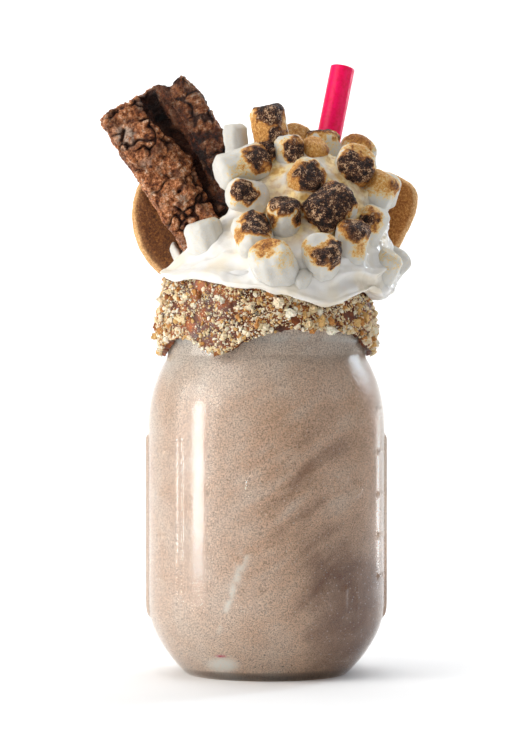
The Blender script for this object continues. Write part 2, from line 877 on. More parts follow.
@dataclass
class Jar:
    """The clear glass jar, with a measuring scale, a leaf sprig and flutes in low relief."""

    height: float = 131.7 * MM
    base_radius: float = 27.7 * MM
    body_radius: float = 40.2 * MM
    neck_radius: float = 33.6 * MM
    heel_top: float = 24.0 * MM
    shoulder_low: float = 80.0 * MM
    shoulder_top: float = 105.5 * MM
    shoulder_power: float = 2.35
    wall: float = 2.8 * MM
    floor: float = 4.2 * MM
    bead_height: float = 112.0 * MM
    bead_half: float = 2.0 * MM
    bead_proud: float = 1.0 * MM
    rim_round: float = 1.2 * MM
    relief: float = 0.75 * MM
    line: float = 0.55 * MM
    sprig_heading: float = 286.0
    sprig_height: float = 61.0 * MM
    leaf_half: float = 4.6 * MM
    leaf_gap: float = 5.0 * MM
    leaf_turn: float = 52.0
    flute_height: float = 27 * MM
    scale_height: float = 49 * MM
    # Each bar's heading and how strongly it is raised.
    scale_bars: tuple[tuple[float, float], ...] = ((224.0, 0.3), (44.0, 0.3), (183.0, 1.0), (357.0, 1.0))
    ticks: tuple[float, ...] = (33 * MM, 46.5 * MM, 60 * MM, 74 * MM, 88 * MM)

    def outer(self, heights: np.ndarray) -> np.ndarray:
        """Work out the outer radius, from the heel up to the neck.

        Args:
            heights: Heights above the base.

        Returns:
            The radius at each height.
        """
        heel = 1 - np.clip(heights / self.heel_top, 0, 1)
        rise = np.clip((heights - self.shoulder_low) / (self.shoulder_top - self.shoulder_low), 0, 1)
        radius = self.body_radius - (self.body_radius - self.base_radius) * heel ** 2
        return radius - (self.body_radius - self.neck_radius) * rise ** self.shoulder_power

    def with_bead(self, heights: np.ndarray) -> np.ndarray:
        """Return the outer radius at each height, with the bead round the neck."""
        swell = np.clip(1 - ((heights - self.bead_height) / self.bead_half) ** 2, 0, 1)
        return self.outer(heights) + self.bead_proud * np.sqrt(swell)

    def inner(self, heights: np.ndarray) -> np.ndarray:
        """Work out the radius of the hollow.

        Args:
            heights: Heights above the base.

        Returns:
            The radius at each height.
        """
        rise = 1 - np.clip((heights - self.floor) / (self.heel_top - self.floor), 0, 1)
        low = self.body_radius - self.wall - (self.body_radius - self.base_radius - 1 * MM) * rise ** 2
        return np.where(heights < self.heel_top, low, self.outer(heights) - self.wall)

    def leaf(self, across: np.ndarray, up: np.ndarray, turn: float) -> np.ndarray:
        """Draw one leaf of the sprig.

        Args:
            across: Distances along the glass from the leaf's middle.
            up: Heights above the leaf's middle.
            turn: Its direction in degrees, from across to up.

        Returns:
            Relief from 0 to 1, with a raised edge and a vein.
        """
        cos, sin = math.cos(math.radians(turn)), math.sin(math.radians(turn))
        along = (across * cos + up * sin) / self.leaf_half
        side = (-across * sin + up * cos) / (0.42 * self.leaf_half)
        reach = np.abs(side) - np.clip(1 - along ** 2, 0, 1)
        edge = np.exp(-(reach / 0.28) ** 2) * (np.abs(along) < 1.05)
        vein = np.exp(-(side / 0.2) ** 2) * (np.abs(along) < 0.85)
        return np.clip(edge + 0.7 * vein, 0, 1)

    def sprig(self, across: np.ndarray, up: np.ndarray) -> np.ndarray:
        """Draw a wavy stem, with leaves above and below it and one at its end.

        Args:
            across: Distances along the glass from the sprig's middle.
            up: Heights above the sprig's middle.

        Returns:
            Relief from 0 to 1.
        """
        wave = 1.6 * MM * np.sin(across / (5.5 * MM))
        raised = np.exp(-((up - wave) / self.line) ** 2) * (np.abs(across) < 17 * MM)
        for i in range(-3, 4):
            side = 1 if i % 2 else -1
            leaf = self.leaf(across - i * self.leaf_gap, up - side * self.leaf_half, side * self.leaf_turn)
            raised = np.maximum(raised, leaf)
        return np.maximum(raised, self.leaf(across - 20.5 * MM, up - 1.0 * MM, 8.0))

    def flutes(self, across: np.ndarray, heights: np.ndarray) -> np.ndarray:
        """Draw a row of short upright flutes.

        Args:
            across: Distances along the glass from the row's middle.
            heights: Heights above the base.

        Returns:
            Relief from 0 to 1.
        """
        flutes = np.clip(np.sin(across / (1.15 * MM)), 0, 1) * (np.abs(across) < 23 * MM)
        return flutes * smooth_step(-4.5 * MM, -3.2 * MM, -np.abs(heights - self.flute_height))

    def scale(self, headings: np.ndarray, heights: np.ndarray) -> np.ndarray:
        """Draw the measuring scale: upright bars, each with plain ticks beside it.

        Args:
            headings: Headings of the points.
            heights: Their heights above the base.

        Returns:
            Relief from 0 to 1.
        """
        raised = np.zeros(np.broadcast(headings, heights).shape)
        for heading, level in self.scale_bars:
            side = np.radians(headings - heading) * self.body_radius
            bar = level * np.exp(-((np.abs(side) - 1.2 * MM) / self.line) ** 2)
            ends = smooth_step(-31 * MM, -29 * MM, -np.abs(heights - self.scale_height))
            raised = np.maximum(raised, bar * ends)
            for height in self.ticks:
                tick = np.exp(-((heights - height) / (0.5 * MM)) ** 2)
                raised = np.maximum(raised, tick * (side < -7 * MM) * (side > -14 * MM))
        return raised

    def pattern(self, headings: np.ndarray, heights: np.ndarray) -> np.ndarray:
        """Work out the glass's relief: a sprig, flutes under it and a scale.

        Args:
            headings: Headings of the points.
            heights: Their heights above the base.

        Returns:
            Relief from 0 to 1.
        """
        across = np.radians(headings - self.sprig_heading) * self.body_radius
        drawn = np.maximum(self.sprig(across, heights - self.sprig_height), self.flutes(across, heights))
        return np.maximum(0.6 * drawn, self.scale(headings, heights))

    def headings(self) -> np.ndarray:
        """Choose the headings of the glass's columns, closest where the relief is finest.

        Returns:
            Headings in degrees, rising from 0.
        """
        starts = (0.0, 4.0, 38.0, 50.0, 178.0, 188.0, 217.0, 231.0, 252.0, 320.0, 352.0, 360.0)
        steps = (0.62, 1.2, 0.62, 1.2, 0.62, 1.1, 0.3, 0.8, 0.4, 0.8, 0.62)
        return np.concatenate([np.arange(start, end - step / 2, step)
                               for start, end, step in zip(starts, starts[1:], steps)])

    def dewy(self, points: np.ndarray) -> np.ndarray:
        """Work out how strongly the dew shows: most on the right shoulder.

        Args:
            points: Points of the glass.

        Returns:
            Values from 0.3, faint, to 1.3.
        """
        near = np.exp(-((points[:, 2] - 96 * MM) / (14 * MM)) ** 2)
        near *= smooth_step(20 * MM, 34 * MM, points[:, 0])
        return 0.3 + 1.0 * near

    def build(self) -> None:
        """Build the glass."""
        bead_low, bead_top = self.bead_height - self.bead_half, self.bead_height + self.bead_half
        brim = self.height - self.rim_round
        heights = np.concatenate((
            np.linspace(0, self.heel_top, 22)[:-1],
            np.linspace(self.heel_top, self.shoulder_low, 94)[:-1],
            np.linspace(self.shoulder_low, bead_low, 26)[:-1],
            np.linspace(bead_low, bead_top, 13)[:-1],
            np.linspace(bead_top, brim, 6)))
        headings = self.headings()
        radii = self.with_bead(heights)[:, None] + np.zeros((1, len(headings)))
        radii = radii - self.relief + self.relief * self.pattern(headings[None, :], heights[:, None])
        outside = polar(headings[None, :], radii, heights[:, None])
        turns = np.radians(np.linspace(0, 180, 9)[1:-1])
        middle = self.neck_radius - self.wall / 2
        rim = polar(headings[None, :], (middle + np.cos(turns) * self.wall / 2)[:, None],
                    (brim + np.sin(turns) * self.rim_round)[:, None])
        depths = np.concatenate((
            np.linspace(self.floor, self.heel_top, 16)[:-1],
            [self.heel_top, 50 * MM],
            np.linspace(self.shoulder_low, self.shoulder_top, 14),
            [brim]))[::-1]
        inside = polar(headings[None, :], self.inner(depths)[:, None], depths[:, None])
        piece = turned_solid("jar_glass", np.concatenate((outside, rim, inside)))
        store(piece, "dewy", self.dewy(places_of(piece)))
        place_piece(piece, ClearGlass(), "clear_glass", "jar")


@dataclass
class Drink:
    """The milkshake, which reaches just into the glass so that no air shows between them."""

    jar: Jar
    level: float = 119.0 * MM
    into_glass: float = 0.25 * MM
    columns: int = 420
    wall_low: float = 24.6 * MM
    streak_top: tuple[float, float] = (-6.9 * MM, 42.0 * MM)
    streak_foot: tuple[float, float] = (-15.2 * MM, 17.0 * MM)
    mark: tuple[float, float] = (-13.6 * MM, 6.4 * MM)
    mark_size: tuple[float, float] = (4.9 * MM, 2.5 * MM)
    straw_edge: tuple[float, float] = (-14.4 * MM, 9.2 * MM)
    edge_size: tuple[float, float] = (1.7 * MM, 0.4 * MM)

    def pale_parts(self, points: np.ndarray) -> np.ndarray:
        """Return how pale the drink is where the straw presses against the glass.

        Args:
            points: Points of the drink.

        Returns:
            Values from 0 to 1.
        """
        top, foot = np.array(self.streak_top), np.array(self.streak_foot)
        flat = points[:, [0, 2]]
        share = np.clip(((flat - foot) @ (top - foot)) / ((top - foot) @ (top - foot)), 0, 1)
        off = np.linalg.norm(flat - foot - share[:, None] * (top - foot), axis=1)
        streak = 0.85 * np.exp(-(off / ((0.7 + 1.0 * share) * MM)) ** 2) * smooth_step(0.0, 0.4, share)
        streak += 0.4 * np.exp(-(off / (0.9 * MM)) ** 2) * smooth_step(-0.5, 0.0, -share)
        streak *= smooth_step(-0.5, 0.1, lumps(points, 3 * MM, 3.0))
        mark = (flat - np.array(self.mark)) / np.array(self.mark_size)
        neck = 0.45 * np.exp(-((points[:, 2] - self.jar.bead_height + 0.6 * MM) / (1.1 * MM)) ** 2)
        neck *= smooth_step(-0.35, 0.25, lumps(points, 5 * MM, 5.0))
        return np.clip((streak + np.exp(-(mark ** 2).sum(axis=1) ** 2)) * (points[:, 1] < 0) + neck, 0, 1)

    def shades(self, points: np.ndarray) -> np.ndarray:
        """Return how light the drink is, with the darker swirls that rise to the right.

        Args:
            points: Points of the drink.

        Returns:
            Values round 0.5, from 0, dark, to 1, light.
        """
        across, up = points[:, 0], points[:, 2]
        bend = 6 * MM * lumps(points, 22 * MM, 4.0)
        along = np.stack((across + 1.1 * up, 5.5 * (up - 0.75 * across) + 4 * bend, points[:, 1] * 0), axis=1)
        swirls = lumps(along, 42 * MM, 2.0) + 0.5 * lumps(along, 16 * MM, 6.0)
        middle = np.exp(-((across - 8 * MM) / (21 * MM)) ** 2 - ((up - 62 * MM) / (36 * MM)) ** 2)
        corner = smooth_step(0, 26 * MM, across) * smooth_step(-60 * MM, -26 * MM, -up)
        rim = 1.3 * smooth_step(88 * MM, 108 * MM, up) + 1.4 * smooth_step(33 * MM, 37.5 * MM, across)
        return 0.66 - 0.003 * across / MM + 0.46 * swirls * middle - 0.12 * middle - 0.5 * corner + 0.2 * rim

    def specks(self, points: np.ndarray) -> np.ndarray:
        """Return how many dark specks the drink shows: many near its foot, and a few high up.

        Args:
            points: Points of the drink.

        Returns:
            Values from 0 to 1.
        """
        patch = smooth_step(0.1, 0.4, lumps(points, 7 * MM, 8.0))
        high = smooth_step(50 * MM, 75 * MM, points[:, 2])
        return np.clip(smooth_step(-14 * MM, -6 * MM, -points[:, 2]) + patch * (0.35 + 0.4 * high), 0, 1)

    def build(self) -> None:
        """Build the drink."""
        bottom = self.jar.floor - self.into_glass
        heights = np.concatenate((
            np.linspace(bottom, self.jar.heel_top, 60), np.linspace(self.wall_low, self.level, 150)))
        headings = even_headings(self.columns)
        radii = self.jar.inner(np.maximum(heights, self.jar.floor)) + self.into_glass
        rings = polar(headings[None, :], radii[:, None], heights[:, None])
        piece = turned_solid("milkshake_drink", rings)
        points = places_of(piece)
        store(piece, "pale", self.pale_parts(points))
        store(piece, "shade", self.shades(points))
        store(piece, "specks", self.specks(points))
        edge = (points[:, [0, 2]] - np.array(self.straw_edge)) / np.array(self.edge_size)
        store(piece, "red", np.exp(-(edge ** 2).sum(axis=1) ** 2) * (points[:, 1] < 0))
        place_piece(piece, ShakeFinish(), "shake", "milkshake")


@dataclass
class Straw:
    """The wide straw, which leans back and to the right."""

    foot: Vector = Vector((-13.6, -17.6, 6.2)) * MM
    tip: Vector = Vector((26.0, 19.5, 203.0)) * MM
    radius: float = 4.15 * MM
    wall: float = 0.45 * MM
    columns: int = 72

    def build(self) -> None:
        """Build the straw."""
        foot, tip = self.foot, self.tip
        length = (tip - foot).length
        half = self.wall / 2
        turns = np.radians(np.linspace(0, 180, 7))
        radii = self.radius - half + np.cos(turns) * half
        lift = np.sin(turns) * half
        heights = np.concatenate((length - half + lift, half - lift[::-1]))
        headings = even_headings(self.columns)
        grid = polar(headings[None, :], np.concatenate((radii, radii[::-1]))[:, None], heights[:, None])
        piece = turned_solid("drinking_straw", grid, wrap=True)
        turn = (tip - foot).to_track_quat("Z", "Y").to_matrix().to_4x4()
        piece.data.transform(Matrix.Translation(foot) @ turn)
        place_piece(piece, StrawFinish(), "straw_plastic", "straw")


# Neck


@dataclass
class CrumbBand:
    """The chocolate spread round the neck and the crumbs that stick to it."""

    jar: Jar
    top: float = 131.2 * MM
    columns: int = 540
    rows: int = 64
    # The height of the spread's lower edge at each heading.
    foot: Rows = (
        (0, 105.5), (12, 106), (24, 111), (60, 112.5), (100, 111), (140, 113), (168, 107), (180, 105),
        (196, 107), (207, 110.5), (221, 112), (232, 109), (240, 105.5), (248, 106.5), (258, 110),
        (272, 113.2), (300, 113.8), (325, 112.5), (340, 108.5), (352, 106.5), (360, 105.5),
    )
    # The radius of the spread at each height.
    skin: Rows = (
        (104, 35.2), (107, 36.2), (112, 36.9), (116, 36.9), (122, 35.8), (128, 34.9), (131.3, 34.4),
    )
    # The height that the crumbs reach at each heading.
    cover: Rows = (
        (0, 129), (60, 129), (120, 129), (180, 131), (205, 131), (230, 130), (265, 127.5),
        (283, 125.5), (299, 122.5), (310, 124.5), (329, 128), (338, 124), (346, 127.5), (360, 129),
    )
    about: float = 36 * MM
    under_crumb: float = 0.75 * MM
    ragged: float = 0.7 * MM
    seed: int = 5
    tints: tuple[Colour, ...] = (srgb(244, 228, 198), srgb(236, 212, 168), srgb(220, 178, 114),
                                 srgb(194, 136, 72), srgb(246, 238, 218), srgb(154, 94, 46))
    tint_shares: tuple[float, ...] = (0.28, 0.26, 0.15, 0.1, 0.17, 0.04)

    def low(self, headings: np.ndarray) -> np.ndarray:
        """Work out the lower edge of the spread, which hangs in ragged lumps.

        Args:
            headings: Headings in degrees.

        Returns:
            The edge's height at each heading.
        """
        places = polar(headings, 34 * MM, 0.0)
        ragged = lumps(places, 3.5 * MM) + 0.6 * lumps(places, 1.3 * MM)
        return round_table(self.foot, headings, 1) * MM + self.ragged * ragged

    def radius(self, headings: np.ndarray, heights: np.ndarray) -> np.ndarray:
        """Work out the radius of the spread under the crumbs.

        Args:
            headings: Headings in degrees.
            heights: Heights above the base.

        Returns:
            The radius at each point.
        """
        skin = np.interp(heights / MM, [row[0] for row in self.skin], [row[1] for row in self.skin]) * MM
        points = polar(headings, self.about, heights)
        coarse, fine = 0.45 * MM * lumps(points, 5 * MM, 3.0), 0.2 * MM * lumps(points, 1.6 * MM)
        return skin - self.under_crumb + coarse + fine

    def build_spread(self) -> None:
        """Build the chocolate spread as a closed skin on the glass."""
        headings = even_headings(self.columns)
        low = self.low(headings)
        shares = np.linspace(0, 1, self.rows)[:, None]
        heights = low + (self.top - low) * shares
        flat = np.broadcast_to(headings, heights.shape)
        radii = self.radius(flat.ravel(), heights.ravel()).reshape(heights.shape)
        inner = self.jar.with_bead(heights) - 0.1 * MM
        edge = np.sqrt(np.clip(1 - (1 - np.clip((heights - low) / (1.4 * MM), 0, 1)) ** 2, 0, 1))
        radii = inner + 0.15 * MM + (radii - inner) * edge
        outside = polar(flat, radii, heights)
        inside = polar(flat, inner, heights)[::-1]
        piece = turned_solid("chocolate_spread", np.concatenate((outside, inside)), wrap=True)
        place_piece(piece, ChocolateFinish(), "chocolate_crumb", "crumb_rim")

    def crumb_places(self, kind: Crumb, rng: np.random.Generator) -> tuple[np.ndarray, np.ndarray]:
        """Choose where the crumbs of one kind stick, and how large each is.

        Args:
            kind: The kind of crumb.
            rng: The source of random numbers.

        Returns:
            Places and radii.
        """
        size = kind.value
        tries = size.count * 3
        headings = rng.uniform(0, 360, tries)
        low = self.low(headings)
        high = round_table(self.cover, headings, 1) * MM
        heights = low + (high - low) * rng.random(tries) ** 1.15
        flat = polar(headings, self.about, heights)
        bare = lumps(flat, 8 * MM, 9.0) + 0.6 * lumps(flat, 3 * MM, 4.0)
        kept = np.flatnonzero(bare + rng.uniform(-0.3, 0.3, len(bare)) < 0.42)[:size.count]
        sizes = size.small + (size.large - size.small) * rng.random(len(kept)) ** 2.2
        radii = self.radius(headings[kept], heights[kept]) + sizes * rng.uniform(-0.1, 0.75, len(kept))
        return polar(headings[kept], radii, heights[kept]), sizes

    def build_crumbs(self, kind: Crumb) -> None:
        """Build all the crumbs of one kind as one piece.

        Args:
            kind: The kind of crumb.
        """
        rng = np.random.default_rng(self.seed + len(kind.name))
        centres, sizes = self.crumb_places(kind, rng)
        chosen = np.array(self.tints)[rng.choice(len(self.tints), len(sizes), p=self.tint_shares)]
        piece = scatter(f"crumbs_{kind.name.lower()}", centres, sizes, kind.value.level, rng)
        store_colours(piece, "tint", np.repeat(chosen, len(piece.data.vertices) // len(sizes), axis=0))
        place_piece(piece, CrumbFinish(), "chocolate_crumb", "crumb_rim")

    def build(self) -> None:
        """Build the spread and its crumbs."""
        self.build_spread()
        for kind in Crumb:
            self.build_crumbs(kind)


def unit_ball(level: int) -> tuple[np.ndarray, np.ndarray]:
    """Work out a ball of radius 1 with even triangles.

    Args:
        level: How finely it is divided.

    Returns:
        Its points, and the three corner numbers of each face.
    """
    ball = bmesh.new()
    bmesh.ops.create_icosphere(ball, subdivisions=level, radius=1.0)
    points = np.array([vert.co[:] for vert in ball.verts])
    faces = np.array([[vert.index for vert in face.verts] for face in ball.faces])
    ball.free()
    return points, faces


def scatter(
    name: str, centres: np.ndarray, sizes: np.ndarray, level: int, rng: np.random.Generator
) -> bpy.types.Object:
    """Join many broken crumbs, each with flat faces, into one object.

    Args:
        name: The object's name.
        centres: Where the crumbs are.
        sizes: Their radii.
        level: How finely each is divided.
        rng: The source of random numbers.

    Returns:
        The new object.
    """
    shape, faces = unit_ball(level)
    count = len(centres)
    turns = rng.normal(size=(count, 3, 3))
    turns = np.linalg.qr(turns)[0]
    turns *= np.sign(np.linalg.det(turns))[:, None, None]
    stretch = rng.uniform(0.65, 1.4, (count, 1, 3))
    cuts = rng.normal(size=(count, CRUMB_CUTS, 3))
    cuts /= np.linalg.norm(cuts, axis=2, keepdims=True)
    facing = np.maximum(shape[None] @ cuts.transpose(0, 2, 1), 1e-3)
    depths = rng.uniform(0.5, 0.95, (count, 1, CRUMB_CUTS))
    faceted = np.minimum((depths / facing).min(axis=2, keepdims=True), 1.15)
    jolts = faceted * rng.uniform(0.84, 1.12, (count, len(shape), 1))
    if level > 1:
        rough = centres[:, None] + shape[None] * sizes[:, None, None]
        jolts *= 1 + 0.45 * lumps(rough.reshape(-1, 3), 0.6 * MM).reshape(count, -1, 1)
    points = (shape[None] * jolts * stretch) @ turns * sizes[:, None, None] + centres[:, None]
    corners = faces[None] + (np.arange(count) * len(shape))[:, None, None]
    made = make_mesh(name, points.reshape(-1, 3), corners.reshape(-1, 3))
    made.data.set_sharp_from_angle(angle=math.radians(30))
    return made


# Cream


@dataclass
class Cream:
    """The whipped cream: a mound with soft folds, whose lip hangs over the rim."""

    jar: Jar
    marshmallows: list[bpy.types.Object]
    columns: int = 420
    # How far the mound's middle is to the right at each height, with its half width and half depth.
    mound: Rows = (
        (134, 5, 39, 37.5), (139, 6.5, 35, 33.5), (145, 10, 31, 29), (152, 13, 27, 24.5),
        (160, 13, 23.5, 20.5), (167, 11, 18, 15.5), (173, 9.5, 11, 10), (177, 9, 4, 4),
    )
    # How far the lip reaches out at each heading, and the height of its underside.
    lip: Rows = (
        (0, 43.5, 128), (30, 42, 126.5), (60, 40.5, 128), (90, 40, 125), (120, 39.5, 127.5),
        (150, 37.5, 129.5), (180, 34.6, 131.7), (205, 36.6, 131), (230, 38.6, 129.4),
        (265, 39.8, 126.7), (283, 40.2, 124.5), (299, 40.4, 120.8), (310, 41, 123.5),
        (329, 42, 127.4), (338, 42.6, 122.2), (346, 43, 126.5), (360, 43.5, 128),
    )
    buried: float = 119.2 * MM
    curl: float = 1.6 * MM
    fold: float = 1.0 * MM
    meniscus: float = 0.7 * MM
    touch_reach: float = 1.2 * MM
    melt_reach: float = 4.2 * MM
    margin: float = 5 * MM
    search: float = 7 * MM

    def rings(self) -> np.ndarray:
        """Work out the cream's rings, from inside the mouth, over the rim, round the lip and up the mound.

        Returns:
            Points as rings, columns and coordinates.
        """
        headings = even_headings(self.columns)
        turns = np.radians(headings)
        flat = np.zeros(self.columns)
        mouth = self.jar.neck_radius - self.jar.wall + 0.2 * MM
        over = self.jar.height + 0.4 * MM
        reach = round_table(self.lip, headings, 1) * MM
        low = round_table(self.lip, headings, 2) * MM
        skirt = np.minimum(self.jar.neck_radius + 2.2 * MM, reach - 1.6 * MM)
        thick = (reach - skirt) / 2
        middle = low + 1.5 * MM
        rows = [
            polar(headings, mouth + flat, self.buried + flat),
            polar(headings, mouth + flat, over + flat),
            polar(headings, skirt, over + flat),
        ]
        for turn in np.radians(np.linspace(180, 360, 16)):
            radii = skirt + thick + thick * math.cos(turn)
            rows.append(polar(headings, radii, middle + self.curl * math.sin(turn)))
        table = [np.array([row[i] for row in self.mound]) for i in range(4)]
        start, end = table[0][0], table[0][-1]
        for share in np.linspace(0, 1, 22)[1:-1]:
            at = middle + (start * MM - middle) * share
            centre = table[1][0] * MM * share
            ease = smooth_step(-0.3, 1.1, share)
            wide = reach + (table[2][0] * MM - reach) * ease
            deep = reach + (table[3][0] * MM - reach) * ease
            rows.append(np.stack((centre + wide * np.cos(turns), deep * np.sin(turns), at), axis=-1))
        for height in np.linspace(start, end, 130):
            centre, wide, deep = [np.interp(height, table[0], column) * MM for column in table[1:]]
            at = height * MM + flat
            rows.append(np.stack((centre + wide * np.cos(turns), deep * np.sin(turns), at), axis=-1))
        return np.stack(rows)

    def nearness(self, points: np.ndarray) -> tuple[np.ndarray, np.ndarray]:
        """Work out how near the cream is to a marshmallow, and to a toasted one.

        Args:
            points: Points of the cream.

        Returns:
            Two lists of values from 0, far, to 1, touching.
        """
        rise = np.zeros(len(points))
        warm = np.zeros(len(points))
        for piece in self.marshmallows:
            places = places_of(piece)
            toast = np.empty(len(places), dtype=np.float32)
            piece.data.attributes["toast"].data.foreach_get("value", toast)
            melted = min(1.0, 3.0 * float(toast.mean()))
            low, high = places.min(axis=0) - self.margin, places.max(axis=0) + self.margin
            near = np.flatnonzero(((points > low) & (points < high)).all(axis=1))
            tree = BVHTree.FromPolygons(places.tolist(), [face.vertices[:] for face in piece.data.polygons])
            for index in near:
                distance = tree.find_nearest(points[index].tolist(), self.search)[3]
                if distance is not None:
                    rise[index] = max(rise[index], math.exp(-(distance / self.touch_reach) ** 2))
                    warm[index] += melted * math.exp(-(distance / self.melt_reach) ** 2)
        return rise, np.clip(warm, 0, 1)

    def build(self) -> None:
        """Build the cream."""
        piece = turned_solid("whipped_cream_mound", self.rings())
        points = places_of(piece)
        flow = points * np.array((1.0, 1.0, 2.6))
        bend = 4 * MM * np.stack([lumps(points, 14 * MM, shift) for shift in (1.0, 5.0, 9.0)], axis=1)
        folds = self.fold * (0.3 - 2.4 * np.abs(lumps(flow + bend, 15 * MM, 2.0)))
        folds += 0.8 * MM * lumps(points + bend, 7 * MM, 7.0) + 0.22 * MM * lumps(points, 2.4 * MM)
        wet = smooth_step(26 * MM, 34 * MM, points[:, 0])
        folds += 0.45 * MM * wet * lumps(points, 1.9 * MM, 4.0)
        shown = smooth_step(119 * MM, 124 * MM, points[:, 2])
        outside = smooth_step(33 * MM, 36 * MM, np.hypot(points[:, 0], points[:, 1]))
        shown *= np.maximum(outside, smooth_step(132.5 * MM, 134 * MM, points[:, 2]))
        rise, warm = self.nearness(points)
        push_out(piece, folds * shown + self.meniscus * rise)
        store(piece, "wet", wet)
        blotches = lumps(points, 4 * MM, 12.0) + 0.4 * lumps(points, 1.3 * MM)
        patchy = 0.2 + 0.8 * smooth_step(-0.5, 0.25, blotches)
        store(piece, "warm", warm * patchy * smooth_step(139 * MM, 146 * MM, points[:, 2]))
        place_piece(piece, CreamFinish(), "cream", "whipped_cream")


# Marshmallows


@dataclass(frozen=True)
class Burn:
    """A toasted patch: where it faces, how wide it is, and how dark, where below 0 keeps it white."""

    heading: float
    pitch: float
    spread: float
    level: float

    def aim(self) -> np.ndarray:
        """Work out the direction that the patch faces.

        Returns:
            A direction of length 1.
        """
        flat = math.cos(math.radians(self.pitch))
        turn = math.radians(self.heading)
        return np.array((flat * math.cos(turn), flat * math.sin(turn), math.sin(math.radians(self.pitch))))


# The burns of the marshmallows that show, by number. Those with an empty row stay white, and those
# that aren't listed have one burn each, by a rule.
TOASTED: dict[int, tuple[Burn, ...]] = {
    1: (Burn(275, 48, 56, 1.0), Burn(300, -36, 40, 0.95), Burn(262, 0, 90, 0.36)),
    2: (Burn(270, 50, 85, 0.34),),
    3: (Burn(270, 88, 50, 1.0), Burn(300, 10, 60, 0.1)),
    4: (Burn(302, 8, 56, 1.0), Burn(255, 30, 50, 0.2)),
    5: (Burn(280, 20, 90, 0.34), Burn(335, 15, 34, 0.62)),
    6: (Burn(270, 20, 85, 0.9),),
    7: (Burn(312, 20, 44, 0.85), Burn(285, -5, 52, 0.17)),
    8: (),
    9: (Burn(296, 4, 54, 1.0), Burn(240, 5, 60, 0.36), Burn(332, 0, 24, -0.7)),
    10: (Burn(276, 2, 56, 1.0), Burn(285, -48, 50, 0.38), Burn(300, 45, 50, 0.3)),
    11: (Burn(300, 62, 60, 0.44),),
    12: (Burn(262, 15, 48, 1.0),),
    13: (Burn(270, 58, 52, 1.0), Burn(232, 5, 30, 0.7), Burn(312, 8, 34, 0.85), Burn(272, -12, 26, -0.8)),
    14: (Burn(268, 20, 82, 1.0),),
    15: (Burn(288, 46, 56, 1.0), Burn(222, -5, 44, 0.42), Burn(275, -48, 42, -1.4)),
    16: (Burn(262, 50, 60, 0.36), Burn(312, 18, 46, 1.0), Burn(272, 4, 32, 0.9), Burn(256, 56, 27, -0.7)),
    17: (Burn(290, 42, 50, 0.8), Burn(305, -10, 46, 0.36), Burn(268, -5, 22, -0.3)),
    18: (Burn(262, 26, 37, 1.0), Burn(262, 26, 58, 0.3)),
    19: (Burn(300, 45, 72, 0.3), Burn(328, 20, 32, 0.6)),
    20: (Burn(300, 50, 60, 0.1),),
    21: (Burn(238, 46, 40, 0.5), Burn(288, 60, 36, 0.42), Burn(300, 20, 44, 0.16)),
    22: (Burn(280, 72, 24, 0.16),),
    23: (Burn(300, 40, 60, 0.12),),
    24: (),
    25: (),
    31: (),
}


@dataclass
class Marshmallows:
    """The marshmallows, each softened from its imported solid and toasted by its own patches."""

    frame: dict
    face: float = 0.45 * MM
    plump: float = 0.25 * MM
    heap_middle: float = 8 * MM
    pieces: list[bpy.types.Object] = field(default_factory=list)

    def toast(self, number: int, points: np.ndarray, offsets: np.ndarray) -> np.ndarray:
        """Return how toasted each point is.

        Args:
            number: Which marshmallow it is.
            points: Its points.
            offsets: The same points from its middle.

        Returns:
            Values from 0, white, to 1, charred.
        """
        ways = offsets / np.linalg.norm(offsets, axis=1, keepdims=True)
        ragged = 22 * lumps(points, 3.2 * MM, number) + 13 * lumps(points, 1.2 * MM, number)
        outward = math.degrees(math.atan2(points[:, 1].mean(), points[:, 0].mean() - self.heap_middle))
        wide, dark = 48 + 14 * math.sin(3.1 * number), 0.55 + 0.45 * math.sin(1.9 * number)
        level = np.zeros(len(points))
        for burn in TOASTED.get(number, (Burn(outward, 40, wide, dark),)):
            angle = np.degrees(np.arccos(np.clip(ways @ burn.aim(), -1, 1)))
            depth = smooth_step(-14, 34, burn.spread - angle + ragged)
            if burn.level < 0:
                level = np.clip(level + burn.level * depth, 0, None)
            else:
                level = np.maximum(level, burn.level * depth)
        return np.clip(level, 0, 1)

    def build(self) -> None:
        """Build every marshmallow."""
        names = sorted(name for name in self.frame["nodes"] if name.startswith("marshmallow_"))
        for name in names:
            number = int(name.split("_")[1])
            piece = fine_copy(self.frame["nodes"][name], f"toasted_{name}", self.face, 8)
            points = places_of(piece)
            offsets = points - points.mean(axis=0)
            toast = self.toast(number, points, offsets)
            crust = smooth_step(0.3, 0.6, toast)
            swell = self.plump + 0.32 * MM * lumps(points, 5 * MM, number)
            swell += 0.1 * MM * lumps(points, 1.3 * MM)
            swell += 0.22 * MM * lumps(points, 2.6 * MM, number + 0.5)
            crisp = 0.22 * MM + 0.26 * MM * lumps(points, 0.9 * MM) + 0.2 * MM * lumps(points, 2.0 * MM, 6.0)
            push_out(piece, swell + crust * crisp)
            store(piece, "toast", toast)
            place_piece(piece, MarshmallowFinish(), "marshmallow", name)
            self.pieces.append(piece)


# Brownie and biscuits


@dataclass(frozen=True)
class FingerParts:
    """How much each point of the finger, from 0 to 1, belongs to each of its parts."""

    front: np.ndarray
    split: np.ndarray
    right: np.ndarray
    lobe: np.ndarray
    notch: np.ndarray
    tip: np.ndarray


